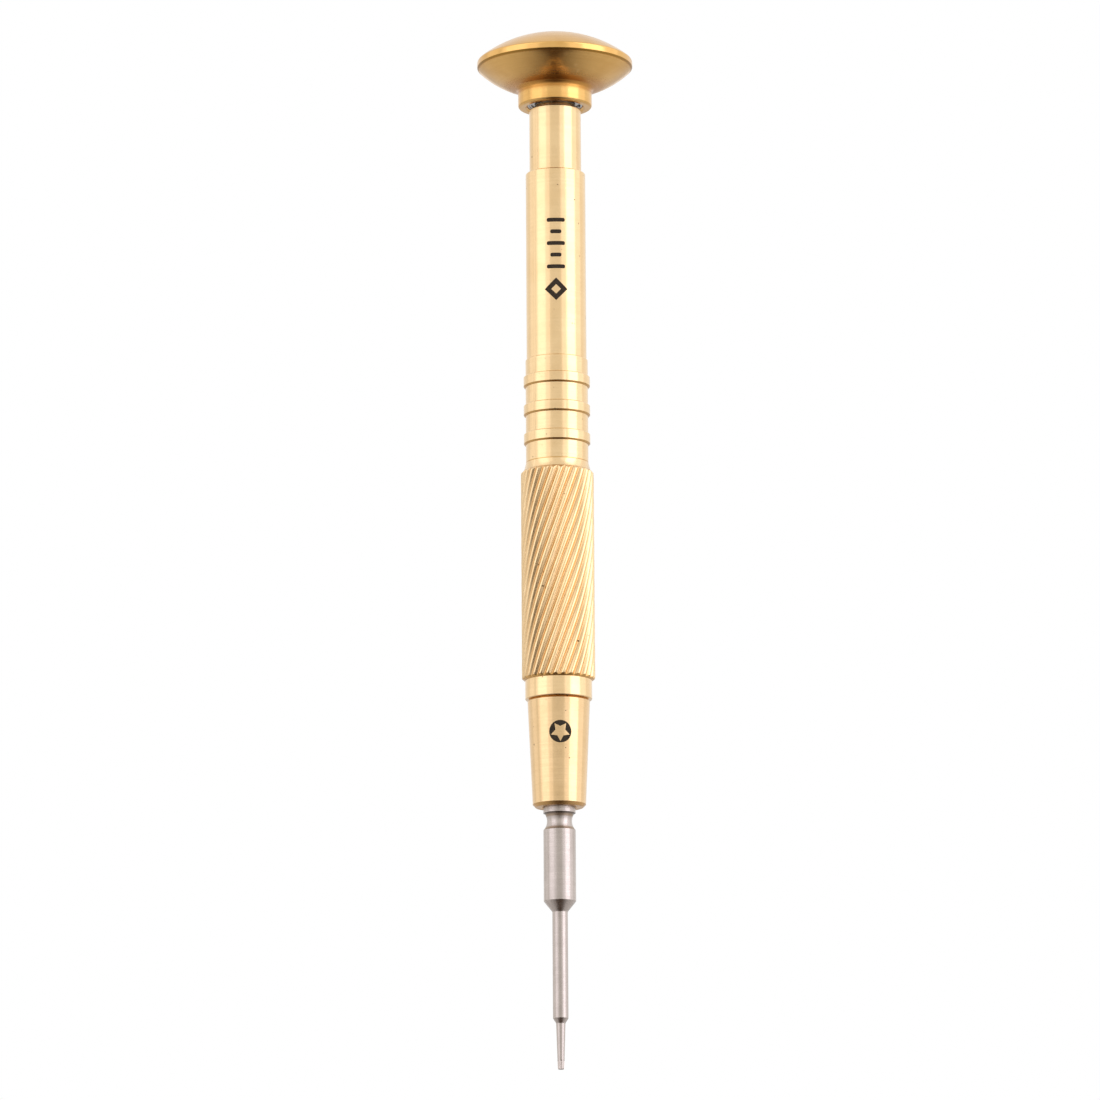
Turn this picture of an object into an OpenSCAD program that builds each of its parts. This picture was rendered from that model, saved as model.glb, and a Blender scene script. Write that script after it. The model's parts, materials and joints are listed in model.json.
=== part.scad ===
// Watchmaker screwdriver with a free-turning cap on a ball bearing.
// The axis is Z. The origin is the end of the driving tip and +Z points at the cap.

/* [Blade] */
// Diameter across the lobes at the driving end
tip_d = 0.8; // [0.6:0.1:1.2]
// Diameter at the thick end of the tip cone
tip_root_d = 1.16; // [1:0.02:1.5]
// Length of the tip cone
tip_len = 5.7; // [4:0.1:8]
// Length of the fluted stretch that enters the screw
lobe_len = 1.1; // [0.6:0.1:2]
// Number of lobes on the tip
lobe_count = 5; // [5:1:6]
// Length of the step from the tip cone to the slender rod
tip_step_len = 0.6; // [0.3:0.1:1.5]
// Diameter of the slender rod
rod_d = 1.92; // [1.7:0.02:2.4]
// Length of the slender rod
rod_len = 13.2; // [8:0.1:30]
// Length of the cone from the rod to the shank
shank_cone_len = 1.3; // [0.8:0.1:3]
// Diameter of the shank
shank_d = 4; // [3.6:0.1:4.2]
// Length of the full-diameter shank below the waist
shank_len = 8.85; // [5:0.05:15]
// Diameter of the waist under the nose
waist_d = 3.1; // [2.4:0.1:3.4]
// Radius of the hollow of the waist, seen from the side
waist_cove_r = 1.7; // [1.5:0.1:3]
// Step from the hollow of the waist out to the flange
flange_step = 0.15; // [0.05:0.01:0.25]
// Length of the flange seen between the waist and the nose
flange_len = 0.73; // [0.5:0.01:2]
// Length of shank pressed into the nose
tang_len = 17.5; // [10:0.5:18]

/* [Nose] */
// Length of the tapered nose
nose_len = 13.5; // [10:0.5:18]
// Diameter of the nose at its lower end
nose_small_d = 6.6; // [6:0.1:7]
// Diameter of the nose where it meets the handle
nose_big_d = 7.75; // [7.2:0.05:8.1]
// Chamfer round the lower end of the nose
nose_chamfer = 0.35; // [0.1:0.05:0.6]
// Diameter of the threaded spigot that screws into the handle
spigot_d = 6; // [5.2:0.2:6.4]
// Length of that spigot
spigot_len = 8.5; // [7:0.5:12]

/* [Handle] */
// Diameter of the plain band below the grip
foot_d = 8.3; // [8:0.1:8.8]
// Length of the plain band below the grip
foot_len = 2.4; // [1:0.1:5]
// Diameter over the ridges of the grip
grip_d = 9.1; // [8.6:0.1:12]
// Length of the grip
grip_len = 26.6; // [15:0.1:40]
// Number of ridges round the grip
ridge_count = 28; // [20:1:36]
// Depth of the grooves between the ridges
ridge_depth = 0.3; // [0.1:0.05:0.35]
// Turn of the ridges over the length of the grip, in degrees
ridge_turn = 130; // [0:5:180]
// Length of the taper above the grip
flare_len = 1; // [0.5:0.1:3]
// Diameter of the stem between the rings
stem_d = 7.8; // [7.6:0.05:8]
// Length of stem from the taper to the first ring
stem_foot_len = 2.28; // [1:0.01:4]
// Diameter of the rings
ring_d = 8.3; // [8.1:0.1:9]
// Chamfer on the edges of the rings
ring_chamfer = 0.12; // [0.05:0.01:0.2]
// Height of each ring
ring_h = 1.4; // [0.6:0.01:2]
// Distance from one ring to the next
ring_pitch = 3.67; // [2.5:0.01:5]
// Number of rings
ring_count = 3; // [1:1:5]
// Length of stem above the last ring
stem_top_len = 2.18; // [1:0.01:5]
// Diameter of the barrel
barrel_d = 7.5; // [7:0.1:7.6]
// Length of the barrel
barrel_len = 24; // [15:0.5:40]
// Diameter of the neck under the cap
neck_d = 6.5; // [6:0.1:6.8]
// Length of the neck
neck_len = 8.3; // [4:0.1:15]

/* [Ball bearing] */
// Bore of the bearing
bearing_bore = 4; // [3.8:0.1:4.2]
// Outside diameter of the bearing
bearing_od = 7; // [7:0.1:7.2]
// Width of the bearing
bearing_w = 2.5; // [2.4:0.1:3]
// Diameter of each ball
ball_d = 0.8; // [0.7:0.05:0.8]
// Number of balls
ball_count = 8; // [6:1:9]
// Clearance between a ball and each raceway
ball_gap = 0.02; // [0.01:0.01:0.03]
// Depth of the bearing inside the mouth of the cap
bearing_recess = 0.3; // [0.1:0.05:0.6]

/* [Cap] */
// Diameter of the cap over its rim
cap_d = 19.6; // [16:0.1:24]
// Radius of the domed top
crown_r = 15.4; // [14:0.1:20]
// Radius of the rounded underside
under_r = 11; // [10.5:0.1:14]
// Distance from the axis to the centre of that rounding
under_off = 2.1; // [1:0.1:2.4]
// Height of the upright rim
rim_h = 0.75; // [0.4:0.05:1.5]
// Diameter of the collar that holds the bearing
collar_d = 9.3; // [8.8:0.1:10]
// Height of the collar up to the rounded underside
collar_h = 2.4; // [2:0.1:4]
// Gap between the collar and the top of the neck
cap_gap = 0.3; // [0.2:0.05:0.5]
// Diameter of the flared mouth of the collar
mouth_d = 7.5; // [7.3:0.1:7.8]

/* [Retaining screw] */
// Thread diameter of the screw that keeps the bearing on
screw_d = 2; // [1.6:0.2:2]
// Length of the screw under its head
screw_len = 6; // [4:0.5:8]
// Diameter of the screw head
screw_head_d = 3.6; // [3:0.1:4]
// Height of the screw head
screw_head_h = 1.2; // [0.8:0.1:1.3]
// Thickness of the washer under the head
washer_h = 0.3; // [0.2:0.05:0.5]

/* [Hidden] */
$fn = 96;
eps = 0.01;

// Heights along the axis, from the driving end up. The nose starts on a whole hundredth.
rod_z = tip_len + tip_step_len;
shank_cone_z = rod_z + rod_len;
shank_z = shank_cone_z + shank_cone_len;
waist_z = shank_z + shank_len;
cove_centre_r = waist_d / 2 + waist_cove_r;
cove_low = acos((cove_centre_r - shank_d / 2) / waist_cove_r);
cove_high = acos((cove_centre_r - shank_d / 2 + flange_step) / waist_cove_r);
waist_mid_z = waist_z + waist_cove_r * sin(cove_low);
waist_top_z = waist_mid_z + waist_cove_r * sin(cove_high);
nose_z = round((waist_top_z + flange_len) * 100) / 100;
foot_z = nose_z + nose_len;
grip_z = foot_z + foot_len;
flare_z = grip_z + grip_len;
stem_z = flare_z + flare_len;
ring_z = stem_z + stem_foot_len;
ring_top_z = ring_z + (ring_count - 1) * ring_pitch + ring_h;
barrel_z = ring_top_z + stem_top_len;
neck_z = barrel_z + barrel_len;
neck_top_z = neck_z + neck_len;
mouth_z = neck_top_z + cap_gap;
bearing_z = mouth_z + bearing_recess;
bearing_mid_z = bearing_z + bearing_w / 2;
bearing_top_z = bearing_z + bearing_w;
washer_top_z = bearing_top_z + washer_h;

// Nose and blade socket
nose_spigot_top_z = foot_z + spigot_len;
tang_chamfer = 0.4;
socket_spare = 0.5;
socket_top_z = nose_z + tang_len + socket_spare;
relief_len = 0.8;
relief_depth = 0.3;
nose_bore_depth = 0.9;
drill_point = 1.6;

// Bearing
pitch_r = (bearing_bore + bearing_od) / 4;
land_gap = 0.26;
inner_land_r = pitch_r - land_gap + eps;
outer_land_r = pitch_r + land_gap + eps;
race_r = ball_d / 2 + ball_gap;
shield_r = bearing_od / 2 - 0.3;
shield_depth = 0.35;
shield_h = 0.12;
shield_gap = 0.06;
snap_h = 0.18;
snap_w = 0.22;
snap_opening = 24;
cage_t = 0.34;
cage_gap = 0.03;
cage_low = 0.75;
cage_high = 0.15;

// Cap
crown_chord = sqrt(pow(crown_r, 2) - pow(cap_d / 2, 2));
rim_chord = sqrt(pow(under_r, 2) - pow(cap_d / 2 - under_off, 2));
collar_chord = sqrt(pow(under_r, 2) - pow(collar_d / 2 - under_off, 2));
under_centre_z = mouth_z + collar_h + collar_chord;
rim_z = under_centre_z - rim_chord;
crown_centre_z = rim_z + rim_h - crown_chord;
lip_round = 0.35;
seat_chamfer = (mouth_d - bearing_od) / 2;
cavity_r = 2.9;
cavity_h = 2;
cavity_point = 0.8;

// Screw
slot_w = 0.45;
slot_depth = 0.55;
thread_chamfer = 0.2;
tapped_len = screw_len + 0.9;
seat_short = 0.1;
washer_gap = 0.05;

brass = [0.86, 0.68, 0.36];
steel = [0.68, 0.64, 0.6];
bearing_steel = [0.75, 0.76, 0.78];

// A ring or a rod from its lower and upper radius
module cone(z, h, r_low, r_high) {
    translate([0, 0, z]) cylinder(h = h, r1 = r_low, r2 = r_high);
}

// A flat ring with a square section
module ring(z, h, r_in, r_out) {
    rotate_extrude() translate([r_in, z]) square([r_out - r_in, h]);
}

// The steel blade: fluted tip, slender rod, shank, hollow waist and the tang inside the nose
module blade() {
    end_chamfer = 0.08;
    flute_r = 0.14;
    flute_at = tip_d / 2 + 0.06;
    cove_steps = 12;
    cove = [
        for (i = [0:cove_steps], a = [cove_high * i / cove_steps - cove_low * (1 - i / cove_steps)])
            [cove_centre_r - waist_cove_r * cos(a), waist_mid_z + waist_cove_r * sin(a)]
    ];
    color(steel) difference() {
        rotate_extrude() polygon(concat([
            [0, 0],
            [tip_d / 2 - end_chamfer, 0],
            [tip_d / 2, end_chamfer],
            [tip_root_d / 2, tip_len],
            [rod_d / 2, rod_z],
            [rod_d / 2, shank_cone_z],
            [shank_d / 2, shank_z]
        ], cove, [
            [shank_d / 2, waist_top_z],
            [shank_d / 2, nose_z + tang_len - tang_chamfer],
            [shank_d / 2 - tang_chamfer, nose_z + tang_len],
            [0, nose_z + tang_len]
        ]));
        for (i = [0:lobe_count - 1])
            rotate([0, 0, 90 + (i + 0.5) * 360 / lobe_count])
                translate([flute_at, 0, -eps])
                    cylinder(h = lobe_len, r = flute_r, $fn = 24);
    }
}

// The tapered brass nose, with the socket for the blade and the spigot that screws into the handle
module nose() {
    mouth_chamfer = 0.2;
    nose_top_chamfer = 0.25;
    color(brass) rotate_extrude() polygon([
        [shank_d / 2 + mouth_chamfer, nose_z],
        [nose_small_d / 2 - nose_chamfer, nose_z],
        [nose_small_d / 2, nose_z + nose_chamfer],
        [nose_big_d / 2, foot_z - nose_top_chamfer],
        [nose_big_d / 2 - nose_top_chamfer, foot_z],
        [spigot_d / 2 - relief_depth, foot_z],
        [spigot_d / 2 - relief_depth, foot_z + relief_len],
        [spigot_d / 2, foot_z + relief_len + relief_depth],
        [spigot_d / 2, nose_spigot_top_z - relief_depth],
        [spigot_d / 2 - relief_depth, nose_spigot_top_z],
        [0, nose_spigot_top_z],
        [0, socket_top_z],
        [shank_d / 2, socket_top_z],
        [shank_d / 2, nose_z + mouth_chamfer]
    ]);
}

// Outline of the grip: a ridge is a short flat with a V groove on each side of it
module grip_outline() {
    step = 360 / ridge_count;
    top_share = 0.5;
    r_top = grip_d / 2;
    r_root = grip_d / 2 - ridge_depth;
    corners = [[0, r_root], [0.5 - top_share / 2, r_top], [0.5 + top_share / 2, r_top]];
    polygon([
        for (i = [0:ridge_count - 1], p = corners)
            p[1] * [cos((i + p[0]) * step), sin((i + p[0]) * step)]
    ]);
}

// The helical grip, turning anticlockwise as it rises
module grip() {
    slices = 40;
    translate([0, 0, grip_z])
        linear_extrude(height = grip_len, twist = -ridge_turn, slices = slices) grip_outline();
}

// One ring of the handle, standing on z = 0
module handle_ring() {
    r = ring_d / 2;
    cone(0, ring_chamfer, r - ring_chamfer, r);
    cone(ring_chamfer, ring_h - 2 * ring_chamfer, r, r);
    cone(ring_h - ring_chamfer, ring_chamfer, r, r - ring_chamfer);
}

// The turned outline above the grip: taper, rings, barrel, neck and the seat of the bearing.
// The neck, the land and the seat each start inside the step below, so that all of it is one solid.
module upper_stem() {
    barrel_chamfer = 0.12;
    neck_chamfer = 0.1;
    sunk = 1;
    cone(flare_z, flare_len, foot_d / 2, stem_d / 2);
    cone(stem_z, barrel_z - stem_z, stem_d / 2, stem_d / 2);
    for (i = [0:ring_count - 1])
        translate([0, 0, ring_z + i * ring_pitch]) handle_ring();
    cone(barrel_z, barrel_len - barrel_chamfer, barrel_d / 2, barrel_d / 2);
    cone(neck_z - barrel_chamfer, barrel_chamfer, barrel_d / 2, barrel_d / 2 - barrel_chamfer);
    cone(neck_z - sunk, sunk + neck_len - neck_chamfer, neck_d / 2, neck_d / 2);
    cone(neck_top_z - neck_chamfer, neck_chamfer, neck_d / 2, neck_d / 2 - neck_chamfer);
    cone(neck_top_z - sunk, sunk + bearing_z - neck_top_z, inner_land_r, inner_land_r);
    cone(bearing_z - sunk, sunk + bearing_w - seat_short, bearing_bore / 2, bearing_bore / 2);
}

// The one-piece brass handle, bored for the nose below and tapped for the screw above
module handle() {
    bore_len = spigot_len + nose_bore_depth;
    seat_top_z = bearing_top_z - seat_short;
    foot_chamfer = 0.08;
    color(brass) difference() {
        union() {
            cone(foot_z, foot_chamfer, foot_d / 2 - foot_chamfer, foot_d / 2);
            cone(foot_z + foot_chamfer, foot_len - foot_chamfer, foot_d / 2, foot_d / 2);
            grip();
            upper_stem();
        }
        cone(foot_z - eps, bore_len + eps, spigot_d / 2, spigot_d / 2);
        cone(foot_z + bore_len, drill_point, spigot_d / 2, 0);
        cone(seat_top_z - tapped_len, tapped_len + eps, screw_d / 2, screw_d / 2);
    }
}

// One circle of the raceway torus, as a section
module race_section() {
    translate([pitch_r, bearing_mid_z]) circle(r = race_r);
}

// The inner race, pressed on the top of the handle
module bearing_inner_ring() {
    color(bearing_steel) rotate_extrude() difference() {
        translate([bearing_bore / 2, bearing_z]) square([inner_land_r - bearing_bore / 2, bearing_w]);
        race_section();
    }
}

// The outer race, pressed into the cap, with a step at each end for a shield
module bearing_outer_ring() {
    color(bearing_steel) rotate_extrude() difference() {
        translate([outer_land_r, bearing_z]) square([bearing_od / 2 - outer_land_r, bearing_w]);
        translate([0, bearing_z - eps]) square([shield_r, shield_depth + eps]);
        translate([0, bearing_top_z - shield_depth]) square([shield_r, shield_depth + eps]);
        race_section();
    }
}

// One ball, placed at its pocket
module bearing_ball(i) {
    color(bearing_steel) rotate([0, 0, i * 360 / ball_count])
        translate([pitch_r, 0, bearing_mid_z]) sphere(r = ball_d / 2);
}

// The crown cage that spaces the balls, open at the top
module bearing_cage() {
    color(brass) difference() {
        ring(bearing_mid_z - cage_low, cage_low + cage_high, pitch_r - cage_t / 2, pitch_r + cage_t / 2);
        for (i = [1:ball_count])
            rotate([0, 0, i * 360 / ball_count])
                translate([pitch_r, 0, bearing_mid_z]) sphere(r = ball_d / 2 + cage_gap);
    }
}

// A shield, pressed against the step of the outer race
module shield(z) {
    color(bearing_steel) ring(z, shield_h, inner_land_r + shield_gap, shield_r);
}

// The wire ring that keeps a shield in, split so that it can spring
module snap_ring(z) {
    color(bearing_steel) rotate([0, 0, snap_opening / 2])
        rotate_extrude(angle = 360 - snap_opening)
            translate([shield_r - snap_w, z]) square([snap_w, snap_h]);
}

module lower_shield() {
    shield(bearing_z + shield_depth - shield_h);
}

module upper_shield() {
    shield(bearing_top_z - shield_depth);
}

module lower_snap_ring() {
    snap_ring(bearing_z + shield_depth - shield_h - snap_h);
}

module upper_snap_ring() {
    snap_ring(bearing_top_z - shield_depth + shield_h);
}

// The washer that clamps the inner race
module retaining_washer() {
    color(steel) ring(bearing_top_z, washer_h, screw_d / 2 + washer_gap, inner_land_r - washer_gap);
}

// The slotted screw down the middle of the handle
module retaining_screw() {
    head_chamfer = 0.25;
    color(steel) difference() {
        rotate_extrude() polygon([
            [0, washer_top_z - screw_len],
            [screw_d / 2 - thread_chamfer, washer_top_z - screw_len],
            [screw_d / 2, washer_top_z - screw_len + thread_chamfer],
            [screw_d / 2, washer_top_z],
            [screw_head_d / 2, washer_top_z],
            [screw_head_d / 2, washer_top_z + screw_head_h - head_chamfer],
            [screw_head_d / 2 - head_chamfer, washer_top_z + screw_head_h],
            [0, washer_top_z + screw_head_h]
        ]);
        translate([-screw_head_d, -slot_w / 2, washer_top_z + screw_head_h - slot_depth])
            cube([2 * screw_head_d, slot_w, slot_depth + eps]);
    }
}

// Half section of the cap's lens: between the crown and the rounded underside, inside the rim
module lens_section() {
    intersection() {
        translate([0, crown_centre_z]) circle(r = crown_r);
        translate([under_off, under_centre_z]) circle(r = under_r);
        translate([0, mouth_z]) square([cap_d / 2, crown_r]);
    }
}

// Half section of the collar, with a rounded lower edge
module collar_section() {
    r = collar_d / 2;
    translate([0, mouth_z]) square([r - lip_round, lip_round]);
    translate([0, mouth_z + lip_round]) square([r, collar_h + 1]);
    intersection() {
        translate([r - lip_round, mouth_z + lip_round]) circle(r = lip_round);
        translate([0, mouth_z]) square([r, lip_round]);
    }
}

// The domed brass cap with its bearing seat
module cap() {
    color(brass) difference() {
        rotate_extrude() union() {
            lens_section();
            collar_section();
        }
        cone(mouth_z - eps, seat_chamfer + eps, mouth_d / 2 + eps, bearing_od / 2);
        cone(mouth_z, bearing_top_z - mouth_z, bearing_od / 2, bearing_od / 2);
        cone(bearing_top_z, cavity_h, cavity_r, cavity_r);
        cone(bearing_top_z + cavity_h, cavity_point, cavity_r, 0);
    }
}

blade();
nose();
handle();
bearing_inner_ring();
bearing_outer_ring();
bearing_cage();
for (i = [1:ball_count])
    bearing_ball(i);
lower_shield();
upper_shield();
lower_snap_ring();
upper_snap_ring();
retaining_washer();
retaining_screw();
cap();
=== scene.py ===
import json
import math

import bmesh
import bpy
from mathutils import Matrix, Vector

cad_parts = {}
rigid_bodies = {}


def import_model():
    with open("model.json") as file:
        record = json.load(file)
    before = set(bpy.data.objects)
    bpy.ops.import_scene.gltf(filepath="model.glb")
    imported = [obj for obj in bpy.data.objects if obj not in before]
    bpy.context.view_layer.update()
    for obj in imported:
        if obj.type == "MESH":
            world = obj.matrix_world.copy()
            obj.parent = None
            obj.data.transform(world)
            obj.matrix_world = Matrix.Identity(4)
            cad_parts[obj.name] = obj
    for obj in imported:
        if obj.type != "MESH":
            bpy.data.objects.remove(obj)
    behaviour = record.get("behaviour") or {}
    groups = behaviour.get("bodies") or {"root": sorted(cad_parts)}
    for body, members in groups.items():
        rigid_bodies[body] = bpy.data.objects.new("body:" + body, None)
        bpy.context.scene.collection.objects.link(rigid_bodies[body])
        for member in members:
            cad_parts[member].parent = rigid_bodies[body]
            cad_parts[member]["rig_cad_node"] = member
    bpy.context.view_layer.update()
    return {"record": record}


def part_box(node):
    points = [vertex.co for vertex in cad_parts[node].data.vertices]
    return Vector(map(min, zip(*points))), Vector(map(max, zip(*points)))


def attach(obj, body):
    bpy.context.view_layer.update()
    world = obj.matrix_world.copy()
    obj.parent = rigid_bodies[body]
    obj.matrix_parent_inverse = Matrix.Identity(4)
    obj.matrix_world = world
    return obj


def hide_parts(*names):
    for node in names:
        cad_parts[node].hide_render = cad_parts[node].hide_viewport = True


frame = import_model()
BODIES = frame["record"]["behaviour"]["bodies"]

MM = 0.001
STEEL_SEGMENTS, RING_SEGMENTS, CAP_SEGMENTS, BALL_SEGMENTS = 144, 160, 288, 48
# Edges that turn by more degrees than this stay crisp: on small parts, on large turned ones, on marks.
CRISP_SMALL, CRISP_TURNED, CRISP_MARK = 32.0, 38.0, 40.0


# ---------------------------------------------------------------- stations, in mm along the axis
def node_mm(node):
    """Lowest and highest corner of a CAD node in mm."""
    lo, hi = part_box(node)
    return [c / MM for c in lo], [c / MM for c in hi]


def z_range(node):
    lo, hi = node_mm(node)
    return lo[2], hi[2]


FOOT_Z, SPIGOT_Z = z_range("handle")
NOSE_Z, NOSE_TOP_Z = z_range("nose")
TIP_Z, TANG_Z = z_range("blade")
MOUTH_Z, CROWN_Z = z_range("cap")
BEARING_Z, BEARING_TOP_Z = z_range("bearing_inner_ring")
BEARING_MID_Z = (BEARING_Z + BEARING_TOP_Z) / 2
CAP_R = node_mm("cap")[1][0]

# ---------------------------------------------------------------- profiles
# How much of the shorter edge beside a corner its fillet may take, and how much of that a support point.
FILLET_SHARE, SUPPORT_SHARE = 0.46, 0.3
# In mm: how far a support point stands off its fillet, the distance under which two points count as one,
# and the radius under which a point counts as lying on the axis.
SUPPORT, SAME_POINT, ON_AXIS = 0.04, 1e-4, 1e-6


def clamp01(value):
    return max(0.0, min(1.0, value))


def arc(centre, radius, start, end, step=1.6):
    """Points of an arc as (r, z, 0), from one angle to another in degrees, 0 along +r."""
    n = max(2, math.ceil(abs(end - start) / step))
    angles = [math.radians(start + (end - start) * i / n) for i in range(n + 1)]
    return [(centre[0] + radius * math.cos(a), centre[1] + radius * math.sin(a), 0) for a in angles]


def rounded(points, closed=False, step=12.0):
    """A profile of (r, z, fillet radius) as plain (r, z), each fillet an arc between support points."""
    out = []
    count = len(points)
    for i, (r, z, fillet) in enumerate(points):
        here = Vector((r, z))
        if not fillet or (not closed and i in (0, count - 1)):
            out.append(here)
            continue
        before = Vector(points[i - 1][:2]) - here
        after = Vector(points[(i + 1) % count][:2]) - here
        room = FILLET_SHARE * min(before.length, after.length)
        before_n, after_n = before.normalized(), after.normalized()
        inside = before_n.angle(after_n)
        reach = min(fillet / math.tan(inside / 2), room)
        radius = reach * math.tan(inside / 2)
        bisector = (before_n + after_n).normalized()
        centre = here + bisector * (radius / math.sin(inside / 2))
        start, end = here + before_n * reach, here + after_n * reach
        spare = min(SUPPORT, SUPPORT_SHARE * room)
        out.append(start + before_n * spare)
        a0 = math.atan2(start.y - centre.y, start.x - centre.x)
        a1 = math.atan2(end.y - centre.y, end.x - centre.x)
        sweep = (a1 - a0 + math.pi) % (2 * math.pi) - math.pi
        n = max(2, math.ceil(abs(math.degrees(sweep)) / step))
        for k in range(n + 1):
            a = a0 + sweep * k / n
            out.append(centre + radius * Vector((math.cos(a), math.sin(a))))
        out.append(end + after_n * spare)
    kept = [out[0]]
    for p in out[1:]:
        if (p - kept[-1]).length > SAME_POINT:
            kept.append(p)
    return [(p.x, p.y) for p in kept]


# ---------------------------------------------------------------- mesh building
def new_object(name, verts, faces, sharp_deg=CRISP_SMALL):
    """A smooth-shaded mesh object from points in mm, normals outwards, its sharp edges kept crisp."""
    mesh = bpy.data.meshes.new(name)
    mesh.from_pydata([Vector(v) * MM for v in verts], [], faces)
    bm = bmesh.new()
    bm.from_mesh(mesh)
    bmesh.ops.recalc_face_normals(bm, faces=bm.faces)
    bm.to_mesh(mesh)
    bm.free()
    mesh.shade_smooth()
    mesh.set_sharp_from_angle(angle=math.radians(sharp_deg))
    obj = bpy.data.objects.new(name, mesh)
    bpy.context.scene.collection.objects.link(obj)
    return obj


def skin(rows, closed=False):
    """Faces between rows of points round the axis. A row of one point is a pole."""
    verts, starts = [], []
    for row in rows:
        starts.append(len(verts))
        verts.extend(row)
    faces = []
    pairs = list(zip(range(len(rows)), range(1, len(rows))))
    if closed:
        pairs.append((len(rows) - 1, 0))
    for a, b in pairs:
        na, nb = len(rows[a]), len(rows[b])
        for i in range(max(na, nb)):
            j = (i + 1) % max(na, nb)
            if na == 1:
                faces.append((starts[a], starts[b] + j, starts[b] + i))
            elif nb == 1:
                faces.append((starts[a] + i, starts[a] + j, starts[b]))
            else:
                faces.append((starts[a] + i, starts[a] + j, starts[b] + j, starts[b] + i))
    return verts, faces


def quad(base, n, row, i):
    """The face from point i to the next, between a row of n points and the row above; base is row 0."""
    j = (i + 1) % n
    low, high = base + row * n, base + (row + 1) * n
    return (low + i, low + j, high + j, high + i)


def circle_row(r, z, segments):
    if r < ON_AXIS:
        return [(0, 0, z)]
    step = 2 * math.pi / segments
    return [(r * math.cos(i * step), r * math.sin(i * step), z) for i in range(segments)]


def lathe(name, profile, segments, closed=False, sharp_deg=CRISP_SMALL):
    rows = [circle_row(r, z, segments) for r, z in profile]
    verts, faces = skin(rows, closed)
    return new_object(name, verts, faces, sharp_deg)


# How far, in mm, the box of a detailed piece may be off its node's.
FIT_SLACK = 0.06


def stand_for(obj, node):
    """Ties a detailed piece to the CAD node that it stands for, which has to fill the same box."""
    lo, hi = node_mm(node)
    corners = [Vector(c) / MM for c in obj.bound_box]
    for axis in range(3):
        low, high = min(c[axis] for c in corners), max(c[axis] for c in corners)
        if abs(low - lo[axis]) > FIT_SLACK or abs(high - hi[axis]) > FIT_SLACK:
            spans = f"{low:.3f} to {high:.3f}, not {lo[axis]:.3f} to {hi[axis]:.3f}"
            raise ValueError(f"{obj.name} on axis {axis} is {spans} like {node}")
    for body, nodes in BODIES.items():
        if node in nodes:
            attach(obj, body)
    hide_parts(node)


# What the "groove" attribute says where shade is painted in, fully and in part. Grooves go from 0 to 1.
CORNER = 2.0
HALF_DARK = 0.75 * CORNER
# In mm: a point this close to a station counts as being at it.
HAIR = 0.02


def write_depth(obj, depth):
    """Stores how deep each point lies in a groove, or how dark the painted shade at its corner is, from
    its r and z.
    """
    groove = obj.data.attributes.new("groove", "FLOAT", "POINT")
    for v, item in zip(obj.data.vertices, groove.data):
        item.value = depth(v.co.xy.length / MM, v.co.z / MM)


# ---------------------------------------------------------------- handle
FOOT_R, GRIP_R, RIDGE_DEPTH = 4.15, 4.55, 0.3
FOOT_LEN, GRIP_LEN, FLARE_LEN = 2.4, 26.6, 1.0
STEM_R, RING_R, RING_H, RING_PITCH, RING_CHAMFER = 3.9, 4.15, 1.4, 3.67, 0.12
UNDERCUT, FOOT_CHAMFER = 0.17, 0.08
STEM_FOOT_LEN, STEM_TOP_LEN = 2.28, 2.18
BARREL_R, BARREL_LEN, BARREL_CHAMFER = 3.75, 24.0, 0.12
NECK_R, NECK_LEN, NECK_CHAMFER = 3.25, 8.3, 0.1
BOSS_R, SEAT_R = 2.5, 2.0
BORE_R, BORE_LEN, BORE_POINT = 3.0, 9.4, 1.6
TAPPED_R, TAPPED_LEN = 1.0, 6.9

# The ridges of the grip, and one ridge in shares of its pitch: the width of its walls and the middle of
# its crown, then how much the crown falls to its sides and how high the valley is.
RIDGES, RIDGE_TURN = 28, math.radians(130)
WALL_UP, WALL_DOWN, CROWN_MID = 0.46, 0.42, 0.51
CROWN_FALL, VALLEY = 0.1, 0.08
RIDGE_SHARES = [k / 12 for k in range(12)]
# The bevel at the lower end of the grip: its length, its rows, and how far under the grooves it starts.
BEVEL_LEN, BEVEL_ROWS, BEVEL_SUNK = 0.3, 9, 0.06
# The height of a row along the twist, and the rows of the chamfer at the upper end.
TWIST_ROW, CHAMFER_ROWS = 0.32, 8
# Degrees between the points of the handle's fillets: coarser than elsewhere, to save faces.
EDGE_STEP = 30.0
# Looks of the grip in mm: crowns left plain, the ends of the grooves, and the painted shade line in the
# crease at the foot of the stem.
PLAIN_CROWN, GROOVE_END, STEM_LINE = 0.03, 0.05, 0.06

GRIP_Z = FOOT_Z + FOOT_LEN
FLARE_Z = GRIP_Z + GRIP_LEN
STEM_Z = FLARE_Z + FLARE_LEN
RING_ZS = [STEM_Z + STEM_FOOT_LEN + i * RING_PITCH for i in range(3)]
BARREL_Z = RING_ZS[-1] + RING_H + STEM_TOP_LEN
NECK_Z = BARREL_Z + BARREL_LEN
NECK_TOP_Z = NECK_Z + NECK_LEN


def ridge_height(share):
    """Height of a ridge from its groove to its soft crown at share 0 to 1 of the pitch."""
    wall = min(1.0, share / WALL_UP, (1 - share) / WALL_DOWN)
    crown = 1 - CROWN_FALL * ((share - CROWN_MID) / 0.5) ** 2
    return crown * (VALLEY + (1 - VALLEY) * wall * wall * (3 - 2 * wall))


def write_knurl(obj):
    """Marks the rolled grip, which has no turning lines."""
    knurl = obj.data.attributes.new("knurl", "FLOAT", "POINT")
    for v, item in zip(obj.data.vertices, knurl.data):
        item.value = 1.0 if GRIP_Z + HAIR < v.co.z / MM < FLARE_Z - HAIR else 0.0


def handle_row(z, turn, radius_at):
    """A row round the handle; radius_at gives the radius at a share of the ridge pitch."""
    row = []
    for i in range(RIDGES):
        for share in RIDGE_SHARES:
            a = (i + share) * 2 * math.pi / RIDGES + turn
            r = radius_at(share)
            row.append((r * math.cos(a), r * math.sin(a), z))
    return row


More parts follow.
